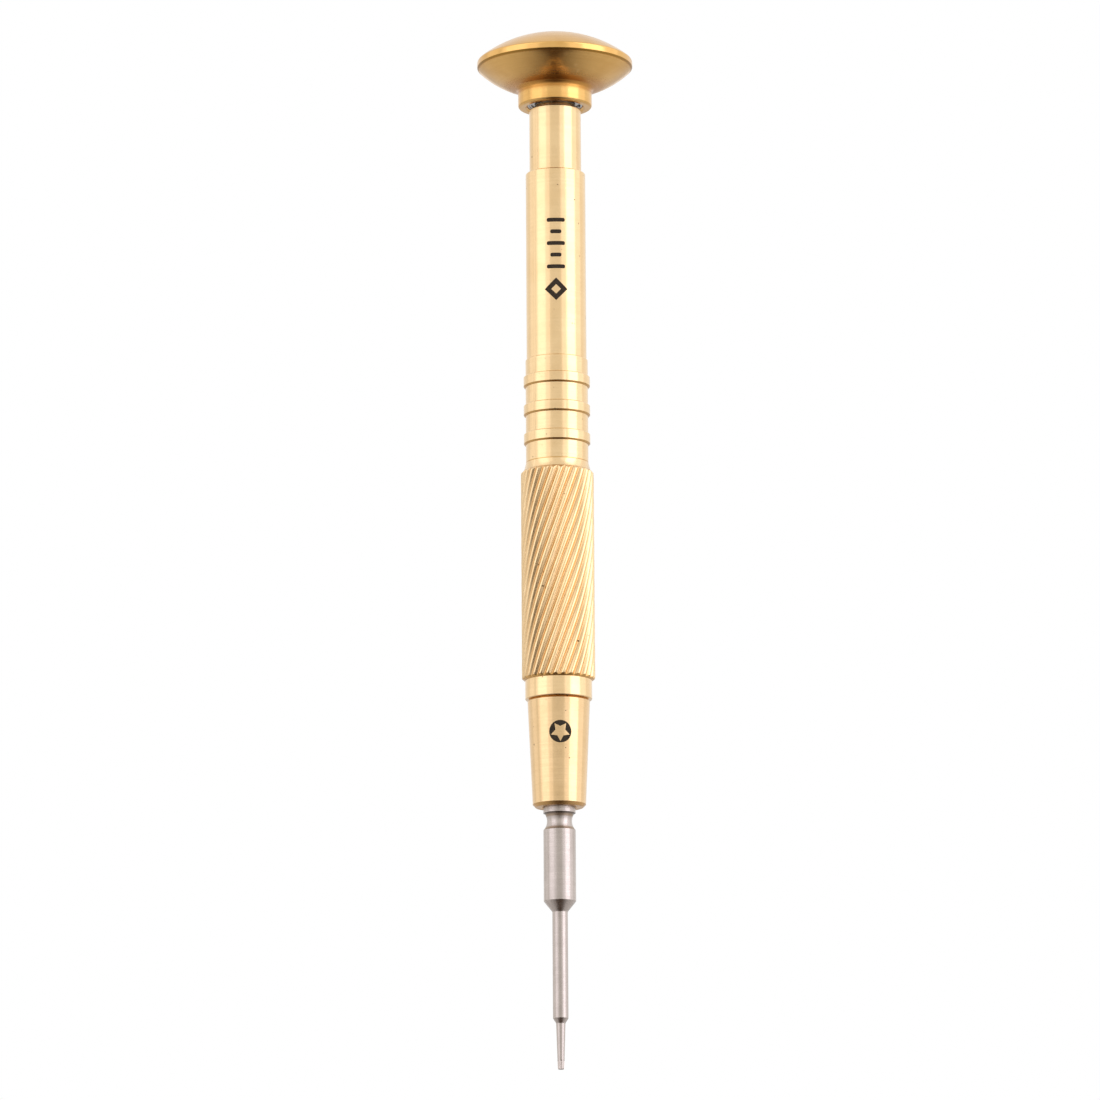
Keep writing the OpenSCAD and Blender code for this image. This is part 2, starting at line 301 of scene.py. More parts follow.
def plain_rows(profile, turn):
    return [[(0, 0, z)] if r < ON_AXIS else handle_row(z, turn, lambda share: r) for r, z in profile]


def grip_row(height):
    """A row of the twisted grip at a height above its lower end, cut back by bevel and chamfer."""
    root_r = GRIP_R - RIDGE_DEPTH
    low_r = root_r - BEVEL_SUNK + height * (GRIP_R - root_r + BEVEL_SUNK) / BEVEL_LEN
    high_r = FOOT_R + (GRIP_LEN - height)
    limit = min(GRIP_R, low_r, high_r)
    root = min(root_r, limit)
    return handle_row(
        GRIP_Z + height,
        RIDGE_TURN * height / GRIP_LEN,
        lambda share: min(limit, root + (GRIP_R - root) * ridge_height(share)),
    )


def build_handle():
    lower = rounded(
        [
            (0, FOOT_Z + BORE_LEN + BORE_POINT, 0),
            (BORE_R, FOOT_Z + BORE_LEN, 0),
            (BORE_R, FOOT_Z, 0.15),
            (FOOT_R - FOOT_CHAMFER, FOOT_Z, 0.02),
            (FOOT_R, FOOT_Z + FOOT_CHAMFER, 0.03),
            (FOOT_R, GRIP_Z - BEVEL_SUNK, 0),
            (FOOT_R, GRIP_Z, 0),
        ],
        step=EDGE_STEP,
    )
    rows = plain_rows(lower, 0.0)
    chamfer = GRIP_R - FOOT_R
    twisted = GRIP_LEN - BEVEL_LEN - chamfer
    count = math.ceil(twisted / TWIST_ROW)
    heights = [BEVEL_LEN * i / BEVEL_ROWS for i in range(BEVEL_ROWS + 1)]
    heights += [BEVEL_LEN + twisted * i / count for i in range(1, count + 1)]
    heights += [GRIP_LEN - chamfer * (1 - i / CHAMFER_ROWS) for i in range(1, CHAMFER_ROWS)]
    rows += [grip_row(height) for height in heights]
    upper = [(FOOT_R, FLARE_Z, 0.04), (STEM_R, STEM_Z, 0.3)]
    for z in RING_ZS:
        upper += [
            (STEM_R, z, 0.03),
            (RING_R - UNDERCUT, z, 0.02),
            (RING_R, z + UNDERCUT, 0.03),
            (RING_R, z + RING_H - RING_CHAMFER, 0.02),
            (RING_R - RING_CHAMFER, z + RING_H, 0.02),
            (STEM_R, z + RING_H, 0.03),
        ]
    upper += [
        (STEM_R, BARREL_Z - BARREL_CHAMFER, 0.06),
        (BARREL_R, BARREL_Z, 0.06),
        (BARREL_R, NECK_Z - BARREL_CHAMFER, 0.06),
        (BARREL_R - BARREL_CHAMFER, NECK_Z, 0.04),
        (NECK_R, NECK_Z, 0.06),
        (NECK_R, NECK_TOP_Z - NECK_CHAMFER, 0.05),
        (NECK_R - NECK_CHAMFER, NECK_TOP_Z, 0.03),
        (BOSS_R, NECK_TOP_Z, 0.03),
        (BOSS_R, BEARING_Z, 0.03),
        (SEAT_R, BEARING_Z, 0.03),
        (SEAT_R, SPIGOT_Z, 0.08),
        (TAPPED_R, SPIGOT_Z, 0.08),
        (TAPPED_R, SPIGOT_Z - TAPPED_LEN, 0.05),
        (0, SPIGOT_Z - TAPPED_LEN, 0),
    ]
    rows += plain_rows(rounded(upper, step=EDGE_STEP), RIDGE_TURN)
    verts, faces = skin(rows)
    obj = new_object("Handle_turned_brass", verts, faces, CRISP_TURNED)

    def depth(r, z):
        # Painted shade under each ring's lip, along the bevel at the grip's foot and in the crease at
        # the foot of the stem; in the grip's valleys, partly painted shade and partly tarnished metal.
        under_ring = any(low - HAIR < z < low + UNDERCUT + HAIR / 2 for low in RING_ZS)
        if under_ring and r > STEM_R - HAIR / 2:
            return CORNER
        if GRIP_Z - HAIR < z < GRIP_Z + BEVEL_LEN or abs(z - STEM_Z) < STEM_LINE:
            return CORNER
        if GRIP_Z + GROOVE_END < z < FLARE_Z - GROOVE_END:
            return clamp01((GRIP_R - PLAIN_CROWN - r) / (RIDGE_DEPTH * (1 - VALLEY)))
        return 0.0

    write_depth(obj, depth)
    write_knurl(obj)
    return obj


# ---------------------------------------------------------------- nose
NOSE_R, NOSE_TOP_R, NOSE_CHAMFER, NOSE_TOP_CHAMFER, MOUTH_CHAMFER = 3.3, 3.875, 0.35, 0.25, 0.2
SPIGOT_R, RELIEF, RELIEF_LEN = 3.0, 0.3, 0.8
SHANK_R, TANG_LEN, SOCKET_SPARE = 2.0, 17.5, 0.5


def build_nose():
    socket_top = NOSE_Z + TANG_LEN + SOCKET_SPARE
    profile = rounded(
        [
            (0, NOSE_TOP_Z, 0),
            (SPIGOT_R - RELIEF, NOSE_TOP_Z, 0.05),
            (SPIGOT_R, NOSE_TOP_Z - RELIEF, 0.05),
            (SPIGOT_R, FOOT_Z + RELIEF_LEN + RELIEF, 0.05),
            (SPIGOT_R - RELIEF, FOOT_Z + RELIEF_LEN, 0.05),
            (SPIGOT_R - RELIEF, FOOT_Z, 0.08),
            (NOSE_TOP_R - NOSE_TOP_CHAMFER, FOOT_Z, 0.04),
            (NOSE_TOP_R, FOOT_Z - NOSE_TOP_CHAMFER, 0.05),
            (NOSE_R, NOSE_Z + NOSE_CHAMFER, 0.1),
            (NOSE_R - NOSE_CHAMFER, NOSE_Z, 0.08),
            (SHANK_R + MOUTH_CHAMFER, NOSE_Z, 0.03),
            (SHANK_R, NOSE_Z + MOUTH_CHAMFER, 0.03),
            (SHANK_R, socket_top, 0.05),
            (0, socket_top, 0),
        ]
    )
    obj = lathe("Nose_tapered_brass", profile, RING_SEGMENTS)
    # Painted shade on the downward-facing chamfer at the nose's foot.
    write_depth(obj, lambda r, z: HALF_DARK if z < NOSE_Z + NOSE_CHAMFER + HAIR else 0.0)
    return obj


# ---------------------------------------------------------------- blade
TIP_R, TIP_ROOT_R, TIP_LEN, TIP_STEP, TIP_CHAMFER = 0.4, 0.58, 5.7, 0.6, 0.08
ROD_R, ROD_LEN, SHANK_CONE = 0.96, 13.2, 1.3
SHANK_LEN, WAIST_R, COVE_R, FLANGE_STEP, TANG_CHAMFER = 8.85, 1.55, 1.7, 0.15, 0.4
# The flutes of the tip: their number, length and radius, and how far outside the tip their centres lie.
LOBES, LOBE_LEN, FLUTE_R, FLUTE_OUT = 5, 1.1, 0.14, 0.06
# In shares of the flutes' length: the rows along them, their end, and how long they take to run out.
LOBE_ROWS = (0.25, 0.5, 0.75, 0.9, 0.97, 1.03, 1.15)
LOBE_END, LOBE_RUN_OUT = 1.03, 0.06
# How far the painted shade in the waist's hollow reaches down from its upper end and up from its lower
# one.
WAIST_DARK_HIGH, WAIST_DARK_LOW = 0.7, 0.6


def tip_radius(base_r, angle, depth):
    """Radius of the lobed tip: the base circle less the round flutes between the lobes."""
    step = 2 * math.pi / LOBES
    off = (angle - math.pi / 2) % step - step / 2
    centre = TIP_R + FLUTE_OUT
    inside = FLUTE_R**2 - (centre * math.sin(off)) ** 2
    if inside <= 0:
        return base_r
    return base_r - depth * max(0.0, base_r - (centre * math.cos(off) - math.sqrt(inside)))


def tip_row(r, z):
    """A row of the blade below the nose, fluted near the tip."""
    depth = clamp01((LOBE_LEN * LOBE_END - (z - TIP_Z)) / (LOBE_LEN * LOBE_RUN_OUT))
    if not depth:
        return circle_row(r, z, STEEL_SEGMENTS)
    row = []
    for i in range(STEEL_SEGMENTS):
        a = i * 2 * math.pi / STEEL_SEGMENTS
        fluted_r = tip_radius(r, a, depth)
        row.append((fluted_r * math.cos(a), fluted_r * math.sin(a), z))
    return row


def build_blade():
    rod_z = TIP_Z + TIP_LEN + TIP_STEP
    cone_z = rod_z + ROD_LEN
    shank_z = cone_z + SHANK_CONE
    waist_z = shank_z + SHANK_LEN
    cove_centre = WAIST_R + COVE_R
    cove_low = math.acos((cove_centre - SHANK_R) / COVE_R)
    cove_high = math.acos((cove_centre - SHANK_R + FLANGE_STEP) / COVE_R)
    cove_mid = waist_z + COVE_R * math.sin(cove_low)
    waist_top_z = cove_mid + COVE_R * math.sin(cove_high)
    cove_start, cove_end = 180 + math.degrees(cove_low), 180 - math.degrees(cove_high)
    cove = arc((cove_centre, cove_mid), COVE_R, cove_start, cove_end, step=4.0)
    profile = rounded(
        [
            (0, TIP_Z, 0),
            (TIP_R - TIP_CHAMFER, TIP_Z, 0.03),
            (TIP_R, TIP_Z + TIP_CHAMFER, 0.03),
            (TIP_ROOT_R, TIP_Z + TIP_LEN, 0.25),
            (ROD_R, rod_z, 0.12),
            (ROD_R, cone_z, 0.3),
            (SHANK_R, shank_z, 0.15),
            (SHANK_R, waist_z, 0.03),
            *cove[1:-1],
            (SHANK_R - FLANGE_STEP, waist_top_z - HAIR / 2, 0.02),
            (SHANK_R, waist_top_z, 0.03),
            (SHANK_R, TANG_Z - TANG_CHAMFER, 0.1),
            (SHANK_R - TANG_CHAMFER, TANG_Z, 0.1),
            (0, TANG_Z, 0),
        ],
        step=8.0,
    )
    extra = [TIP_Z + LOBE_LEN * share for share in LOBE_ROWS]
    slope = (TIP_ROOT_R - TIP_R) / (TIP_LEN - TIP_CHAMFER)
    profile += [(TIP_R + slope * (z - TIP_Z - TIP_CHAMFER), z) for z in extra]
    low = sorted([p for p in profile if p[0] > 0 and p[1] < NOSE_Z], key=lambda p: (p[1], p[0]))
    high = [p for p in profile if p[1] >= NOSE_Z]
    rows = [[(0, 0, TIP_Z)]]
    rows += [tip_row(r, z) for r, z in low]
    rows += [circle_row(r, z, STEEL_SEGMENTS) for r, z in high]
    verts, faces = skin(rows)
    obj = new_object("Blade_turned_steel", verts, faces, CRISP_TURNED)

    def depth(r, z):
        # Painted shade in the hollow under the flange, fading downwards, and on the shank's top edge,
        # fading upwards.
        below_flange, above_shank = waist_top_z - z, z - waist_z
        if -HAIR / 2 < below_flange < WAIST_DARK_HIGH:
            return CORNER * (1 - below_flange / WAIST_DARK_HIGH)
        if -HAIR / 2 < above_shank < WAIST_DARK_LOW:
            return HALF_DARK * (1 - above_shank / WAIST_DARK_LOW)
        return 0.0

    write_depth(obj, depth)
    return obj


# ---------------------------------------------------------------- cap
CROWN_R, UNDER_R, UNDER_OFF, RIM_H, COLLAR_R = 15.4, 11.0, 2.1, 0.75, 4.65
BEARING_OD_R, MOUTH_R, CAVITY_R, CAVITY_H, CAVITY_POINT = 3.5, 3.75, 2.9, 2.0, 0.8
# The fillet between collar and underside, and the room that the underside's arc leaves for it.
COLLAR_FILLET, COLLAR_FILLET_ROOM = 0.6, 1.1
# How many degrees short of the rim the two arcs stop, to leave room for its fillets.
CROWN_STOP, UNDER_STOP = 1.4, 1.1
# Painted shade in mm: its width along the rim's lower edge, how far above the mouth it starts, and how
# far out from the collar it reaches.
RIM_DARK, MOUTH_UNSHADED, SHADE_REACH = 0.22, 1.8, 3.0


def build_cap():
    crown_centre = CROWN_Z - CROWN_R
    rim_top = crown_centre + math.sqrt(CROWN_R**2 - CAP_R**2)
    rim_low = rim_top - RIM_H
    under_centre = rim_low + math.sqrt(UNDER_R**2 - (CAP_R - UNDER_OFF) ** 2)
    crown_deg = math.degrees(math.asin(CAP_R / CROWN_R))
    rim_deg = math.degrees(math.asin((CAP_R - UNDER_OFF) / UNDER_R))
    collar_deg = math.degrees(math.asin((COLLAR_R - UNDER_OFF + COLLAR_FILLET_ROOM) / UNDER_R))
    under_start, under_end = -90 + rim_deg - UNDER_STOP, -90 + collar_deg
    collar_top = under_centre - math.sqrt(UNDER_R**2 - (COLLAR_R - UNDER_OFF) ** 2)
    points = [
        *arc((0, crown_centre), CROWN_R, 90, 90 - crown_deg + CROWN_STOP, step=1.0),
        (CAP_R, rim_top, 0.35),
        (CAP_R, rim_low, 0.2),
        *arc((UNDER_OFF, under_centre), UNDER_R, under_start, under_end, step=1.0),
        (COLLAR_R, collar_top, COLLAR_FILLET),
        (COLLAR_R, collar_top - 2 * COLLAR_FILLET, 0),
        (COLLAR_R, MOUTH_Z, 0.35),
        (MOUTH_R, MOUTH_Z, 0.04),
        (BEARING_OD_R, MOUTH_Z + MOUTH_R - BEARING_OD_R, 0.03),
        (BEARING_OD_R, BEARING_TOP_Z, 0.04),
        (CAVITY_R, BEARING_TOP_Z, 0.04),
        (CAVITY_R, BEARING_TOP_Z + CAVITY_H, 0.05),
        (0, BEARING_TOP_Z + CAVITY_H + CAVITY_POINT, 0),
    ]
    obj = lathe("Cap_domed_brass", rounded(points), CAP_SEGMENTS, sharp_deg=CRISP_TURNED)

    def depth(r, z):
        # Painted shade: a dark line under the rim's lower edge, and the underside darkened towards the
        # collar.
        if r > CAP_R - RIM_DARK and z < rim_low + HAIR:
            return CORNER
        if MOUTH_Z + MOUTH_UNSHADED < z < rim_low and r < COLLAR_R + SHADE_REACH:
            return 1 - max(0.0, r - COLLAR_R - COLLAR_FILLET) / SHADE_REACH
        return 0.0

    write_depth(obj, depth)
    return obj


# ---------------------------------------------------------------- bearing
PITCH_R, BALL_R, RACE_R = 2.75, 0.4, 0.42
INNER_LAND_R, OUTER_LAND_R = 2.5, 3.02
SHIELD_R, SHIELD_DEPTH, SHIELD_IN_R = 3.2, 0.35, 2.56
# The width of the snap rings and their opening in degrees.
SNAP_W, SNAP_OPENING = 0.22, 24.0


def race(side, land_r):
    """The groove of a raceway as arc points, up the inner ring (side -1) or down the outer one (1)."""
    half = math.degrees(math.acos((land_r - PITCH_R) * side / RACE_R))
    middle = 180 if side < 0 else 0
    return arc((PITCH_R, BEARING_MID_Z), RACE_R, middle + half, middle - half, step=10.0)


def flat_ring(inner_r, outer_r, heights, fillet):
    """The cross-section of a flat ring between two radii and a lowest and highest z."""
    low, high = heights
    corners = [(inner_r, low), (outer_r, low), (outer_r, high), (inner_r, high)]
    return rounded([(r, z, fillet) for r, z in corners], closed=True)


def split_ring(name, section):
    """A ring with an opening, its two ends closed."""
    count, n = RING_SEGMENTS, len(section)
    start, end = math.radians(SNAP_OPENING / 2), math.radians(360 - SNAP_OPENING / 2)
    verts, faces = [], []
    for i in range(count + 1):
        a = start + (end - start) * i / count
        verts += [(r * math.cos(a), r * math.sin(a), z) for r, z in section]
    for i in range(count):
        faces += [quad(0, n, i, k) for k in range(n)]
    faces.append(tuple(range(n)))
    faces.append(tuple(count * n + k for k in reversed(range(n))))
    return new_object(name, verts, faces)


def build_bearing():
    inner = rounded(
        [
            (SEAT_R, BEARING_Z, 0.08),
            (INNER_LAND_R, BEARING_Z, 0.04),
            *race(-1, INNER_LAND_R),
            (INNER_LAND_R, BEARING_TOP_Z, 0.04),
            (SEAT_R, BEARING_TOP_Z, 0.08),
        ],
        closed=True,
    )
    outer = rounded(
        [
            (BEARING_OD_R, BEARING_TOP_Z, 0.08),
            (SHIELD_R, BEARING_TOP_Z, 0.03),
            (SHIELD_R, BEARING_TOP_Z - SHIELD_DEPTH, 0),
            (OUTER_LAND_R, BEARING_TOP_Z - SHIELD_DEPTH, 0.03),
            *race(1, OUTER_LAND_R),
            (OUTER_LAND_R, BEARING_Z + SHIELD_DEPTH, 0.03),
            (SHIELD_R, BEARING_Z + SHIELD_DEPTH, 0),
            (SHIELD_R, BEARING_Z, 0.03),
            (BEARING_OD_R, BEARING_Z, 0.08),
        ],
        closed=True,
    )
    made = {
        "bearing_inner_ring": lathe("Bearing_inner_race", inner, RING_SEGMENTS, closed=True),
        "bearing_outer_ring": lathe("Bearing_outer_race", outer, RING_SEGMENTS, closed=True),
    }
    for side in ("lower", "upper"):
        shield = flat_ring(SHIELD_IN_R, SHIELD_R, z_range(f"{side}_shield"), 0.02)
        made[f"{side}_shield"] = lathe(f"Bearing_{side}_shield", shield, RING_SEGMENTS, closed=True)
        snap_ring = flat_ring(SHIELD_R - SNAP_W, SHIELD_R, z_range(f"{side}_snap_ring"), 0.06)
        made[f"{side}_snap_ring"] = split_ring(f"Bearing_{side}_snap_ring", snap_ring)
    for node, obj in made.items():
        stand_for(obj, node)
    return list(made.values())


def build_balls():
    half = arc((0, 0), BALL_R, -90, 90, step=7.5)
    circles = [circle_row(max(r, 0), z, BALL_SEGMENTS) for r, z, _ in half]
    balls = []
    for node in sorted(n for n in BODIES["ball_set"] if "ball" in n and n[-1].isdigit()):
        lo, hi = node_mm(node)
        centre = Vector([(a + b) / 2 for a, b in zip(lo, hi)])
        rows = [[tuple(Vector(p) + centre) for p in circle] for circle in circles]
        verts, faces = skin(rows)
        ball = new_object(f"Bearing_ball_{node[-1]}", verts, faces)
        stand_for(ball, node)
        balls.append(ball)
    return balls


# ---------------------------------------------------------------- marks
# How far a mark stands out of the metal and sinks into it, and its rows of faces from edge to middle.
MARK_PROUD, MARK_SUNK, MARK_BANDS = 0.008, 0.03, 6
# The star on the nose: how far below the handle and how far right it sits, its disc and its two radii.
STAR_DOWN, STAR_RIGHT, DISC_R = 4.55, 0.18, 1.4
STAR_OUTER_R, STAR_INNER_R = 0.88 * DISC_R, 0.46 * DISC_R
# The diamond on the barrel: its height above the barrel's foot, its radius, and the share of its hole.
DIAMOND_UP, DIAMOND_R, DIAMOND_HOLE = 8.3, 1.45, 0.42
# Points along each edge of the star and of the diamond.
STAR_EDGE_POINTS = 14
# The ticks: their number, how far the first one is above the diamond, their spacing, and their sizes.
TICKS, TICK_UP, TICK_GAP = 5, 2.9, 1.5
TICK_WIDE, TICK_NARROW, TICK_H, TICK_CORNER = 2.3, 1.4, 0.5, 0.2
# The steps round a tick's corner, and how far apart the points along its edges are.
CORNER_STEPS, EDGE_SPACING = 6, 0.08


def nose_radius(z):
    share = (z - NOSE_Z - NOSE_CHAMFER) / (FOOT_Z - NOSE_TOP_CHAMFER - NOSE_Z - NOSE_CHAMFER)
    return NOSE_R + (NOSE_TOP_R - NOSE_R) * share


def barrel_radius(_z):
    return BARREL_R


def wrapped(u, v, z_mid, radius_at, lift):
    """A point u mm round the front and v mm up from z_mid, on the surface."""
    z = z_mid + v
    r = radius_at(z)
    a = -math.pi / 2 + u / r
    return ((r + lift) * math.cos(a), (r + lift) * math.sin(a), z)


def between(a, b, share):
    """The point at a share of the way from one flat point to another."""
    return a[0] + (b[0] - a[0]) * share, a[1] + (b[1] - a[1]) * share


def side_quad(edge, layer, n, i):
    """The face between the two layers of a film, along the row of n points that starts at edge."""
    j = (i + 1) % n
    return (edge + i, edge + j, layer + edge + j, layer + edge + i)


def mark(name, verts, faces):
    obj = new_object(name, verts, faces, CRISP_MARK)
    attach(obj, "tool")
    return obj


def ink(name, outer, inner, z_mid, radius_at):
    """A thin closed film on the surface between two outlines of equal point counts."""
    n = len(outer)
    verts, faces = [], []
    for lift in (MARK_PROUD, -MARK_SUNK):
        for b in range(MARK_BANDS + 1):
            for out_point, in_point in zip(outer, inner):
                u, v = between(out_point, in_point, b / MARK_BANDS)
                verts.append(wrapped(u, v, z_mid, radius_at, lift))
    layer = (MARK_BANDS + 1) * n
    for base in (0, layer):
        faces += [quad(base, n, b, i) for b in range(MARK_BANDS) for i in range(n)]
    for edge in (0, MARK_BANDS * n):
        faces += [side_quad(edge, layer, n, i) for i in range(n)]
    return mark(name, verts, faces)


def film(name, outline, z_mid, radius_at):
    """A thin closed film on the surface that fills an outline."""
    n = len(outline)
    centre = (sum(p[0] for p in outline) / n, sum(p[1] for p in outline) / n)
    verts, faces = [], []
    for lift in (MARK_PROUD, -MARK_SUNK):
        for b in range(MARK_BANDS):
            for point in outline:
                u, v = between(point, centre, b / MARK_BANDS)
                verts.append(wrapped(u, v, z_mid, radius_at, lift))
        verts.append(wrapped(*centre, z_mid, radius_at, lift))
    layer = MARK_BANDS * n + 1
    for base in (0, layer):
        faces += [quad(base, n, b, i) for b in range(MARK_BANDS - 1) for i in range(n)]
        last = base + (MARK_BANDS - 1) * n
        faces += [(last + i, last + (i + 1) % n, last + n) for i in range(n)]
    faces += [side_quad(0, layer, n, i) for i in range(n)]
    return mark(name, verts, faces)


def along(corners, count_for):
    """The closed outline through the corners, each edge split into as many parts as count_for says."""
    out = []
    for a, b in zip(corners, corners[1:] + corners[:1]):
        n = count_for(math.hypot(b[0] - a[0], b[1] - a[1]))
        for k in range(n):
            out.append((a[0] + (b[0] - a[0]) * k / n, a[1] + (b[1] - a[1]) * k / n))
    return out


def star_outline(outer_r, inner_r, points):
    """A star with one point down, its outline sampled evenly along each edge."""
    corners = []
    for k in range(points * 2):
        a = -math.pi / 2 + k * math.pi / points
        r = outer_r if k % 2 == 0 else inner_r
        corners.append((r * math.cos(a), r * math.sin(a)))
    return along(corners, lambda length: STAR_EDGE_POINTS)


def rounded_box(width, height, corner):
    """A box with round corners, with points along its edges so that it follows a curved surface."""
    out = []
    for cx, cy, a0 in ((1, -1, -90), (1, 1, 0), (-1, 1, 90), (-1, -1, 180)):
        for k in range(CORNER_STEPS + 1):
            a = math.radians(a0 + 90 * k / CORNER_STEPS)
            across, high = corner * math.cos(a), corner * math.sin(a)
            out.append((cx * (width / 2 - corner) + across, cy * (height / 2 - corner) + high))
    return along(out, lambda length: max(1, math.ceil(length / EDGE_SPACING)))


def build_marks():
    star = star_outline(STAR_OUTER_R, STAR_INNER_R, 5)
    disc = [(STAR_RIGHT + DISC_R * u / math.hypot(u, v), DISC_R * v / math.hypot(u, v)) for u, v in star]
    star = [(STAR_RIGHT + u, v) for u, v in star]
    marks = [ink("Mark_tip_type_star", disc, star, FOOT_Z - STAR_DOWN, nose_radius)]
    diamond_z = BARREL_Z + DIAMOND_UP
    for k in range(TICKS):
        box = rounded_box(TICK_NARROW if k % 2 else TICK_WIDE, TICK_H, TICK_CORNER)
        tick_z = diamond_z + TICK_UP + k * TICK_GAP
        marks.append(film(f"Mark_plain_tick_{k + 1}", box, tick_z, barrel_radius))
    diamond = [(DIAMOND_R * u, DIAMOND_R * v) for u, v in star_outline(1.0, math.sqrt(0.5), 4)]
    hole = [(DIAMOND_HOLE * u, DIAMOND_HOLE * v) for u, v in diamond]
    marks.append(ink("Mark_plain_diamond", diamond, hole, diamond_z, barrel_radius))
    return marks


# ---------------------------------------------------------------- materials
# Turned metal, in mm: the depth of the turning lines, of the fine grain and of the pits.
LINE_DEPTH, GRAIN_DEPTH, PIT_DEPTH = 0.0007, 0.00006, 0.02
# In mm: the size of the grain, of the soft clouds, of the blotches in the gloss, and of the pits.
GRAIN, CLOUD, BLOTCH, PIT = 0.05, 3.2, 0.7, 0.55
# The turning lines run round the axis, so their noise is drawn out across it.
LINE_STRETCH = (0.012, 0.012, 1.0)
# How much of the lines' depth is left on the grip, and the factors that darken the shade colour into
# painted shade for grooves and corners.
KNURL_LINES, GROOVE_SHADE = 0.15, (0.8, 0.66, 0.5)
# Ranges for ramp: how much shade the clouds and the lines add, how much wear shows, and how much painted
# shade the grooves and corners get (partly tarnished metal in the grip's valleys).
CLOUD_MIX, LINE_MIX = (0.38, 0.68, 0.0, 0.55), (0.3, 0.75, 0.0, 0.3)
WORN_MIX, GROOVE_MIX, CORNER_MIX = (0.52, 0.6, 0.0, 0.6), (0.35, 1.0, 0.0, 0.85), (1.2, 0.9 * CORNER)
# Ranges for ramp: what the lines and the grooves add to the roughness. Blotches multiply it.
LINE_ROUGH, GROOVE_ROUGH = (0.3, 0.7, -0.03, 0.03), (0.1, 1.0, 0.0, 0.1)
BLOTCH_LEAST, BLOTCH_MOST = 0.92, 1.1
# How worn edges brighten a colour: times the first, plus the second.
WORN_GAIN, WORN_LIFT = 1.12, 0.03
# Pits: the softness of their outline, how strongly they show, and how dark and how rough they are.
PIT_EDGE, PIT_MIX, PIT_SHADE, PIT_ROUGH = 0.03, 0.75, 0.25, 0.25
# The marks: the size and depth of their grain in mm, their plain colour, and the two it varies between.
INK_GRAIN, INK_DEPTH = 0.12, 0.003
INK, INK_DARK, INK_PALE = (0.02, 0.015, 0.01), (0.016, 0.011, 0.006), (0.05, 0.036, 0.022)
# Turns the stretched highlights so that they run across the turning lines.
QUARTER_TURN = 0.25


def shader(name, colour, metallic, roughness, anisotropic=0.0, specular=0.5):
    mat = bpy.data.materials.new(name)
    mat.use_nodes = True
    tree = mat.node_tree
    bsdf = next(n for n in tree.nodes if n.type == "BSDF_PRINCIPLED")
    bsdf.inputs["Base Color"].default_value = (*colour, 1)
    bsdf.inputs["Metallic"].default_value = metallic
    bsdf.inputs["Roughness"].default_value = roughness
    bsdf.inputs["Specular IOR Level"].default_value = specular
    if anisotropic:
        bsdf.inputs["Anisotropic"].default_value = anisotropic
        bsdf.inputs["Anisotropic Rotation"].default_value = QUARTER_TURN
    return mat, tree, bsdf


def feed(tree, socket, value):
    """Links an output to the socket, or sets a constant on it."""
    if hasattr(value, "is_output"):
        tree.links.new(value, socket)
    else:
        socket.default_value = value


def node(tree, kind, inputs=None, **settings):
    made = tree.nodes.new(kind)
    for key, value in settings.items():
        setattr(made, key, value)
    for key, value in (inputs or {}).items():
        feed(tree, made.inputs[key], value)
    return made


def noise(tree, coords, size, detail=3.0, stretch=(1, 1, 1), roughness=0.55):
    """Noise with features about size mm apart, drawn out per axis."""
    scale = 1 / (size * MM)
    stretched = {"Vector": coords, "Scale": tuple(scale * s for s in stretch)}
    mapping = node(tree, "ShaderNodeMapping", stretched)
    settings = {"Vector": mapping.outputs[0], "Scale": 1.0, "Detail": detail, "Roughness": roughness}
    return node(tree, "ShaderNodeTexNoise", settings).outputs["Fac"]


def ramp(tree, value, low, high, out_low=0.0, out_high=1.0):
    """The value from low to high, taken smoothly to out_low to out_high."""
    span = {"Value": value, "From Min": low, "From Max": high, "To Min": out_low, "To Max": out_high}
    made = node(tree, "ShaderNodeMapRange", span, clamp=True, interpolation_type="SMOOTHSTEP")
    return made.outputs[0]


def math_node(tree, operation, a, b):
    made = node(tree, "ShaderNodeMath", operation=operation)
    for socket, value in zip(made.inputs, (a, b)):
        feed(tree, socket, value)
    return made.outputs[0]


def mix_colour(tree, factor, a, b):
    made = node(tree, "ShaderNodeMix", data_type="RGBA", blend_type="MIX")
    feed(tree, made.inputs[0], factor)
    for key, value in ((6, a), (7, b)):
        feed(tree, made.inputs[key], value if hasattr(value, "is_output") else (*value, 1))
    return made.outputs[2]


def wire(tree, bsdf, base, rough, height):
    """Connects colour, roughness and a bump height in mm to the shader."""
    tree.links.new(base, bsdf.inputs["Base Color"])
    tree.links.new(rough, bsdf.inputs["Roughness"])
    bump = node(tree, "ShaderNodeBump", {"Strength": 1.0, "Distance": MM, "Height": height})
    tree.links.new(bump.outputs[0], bsdf.inputs["Normal"])


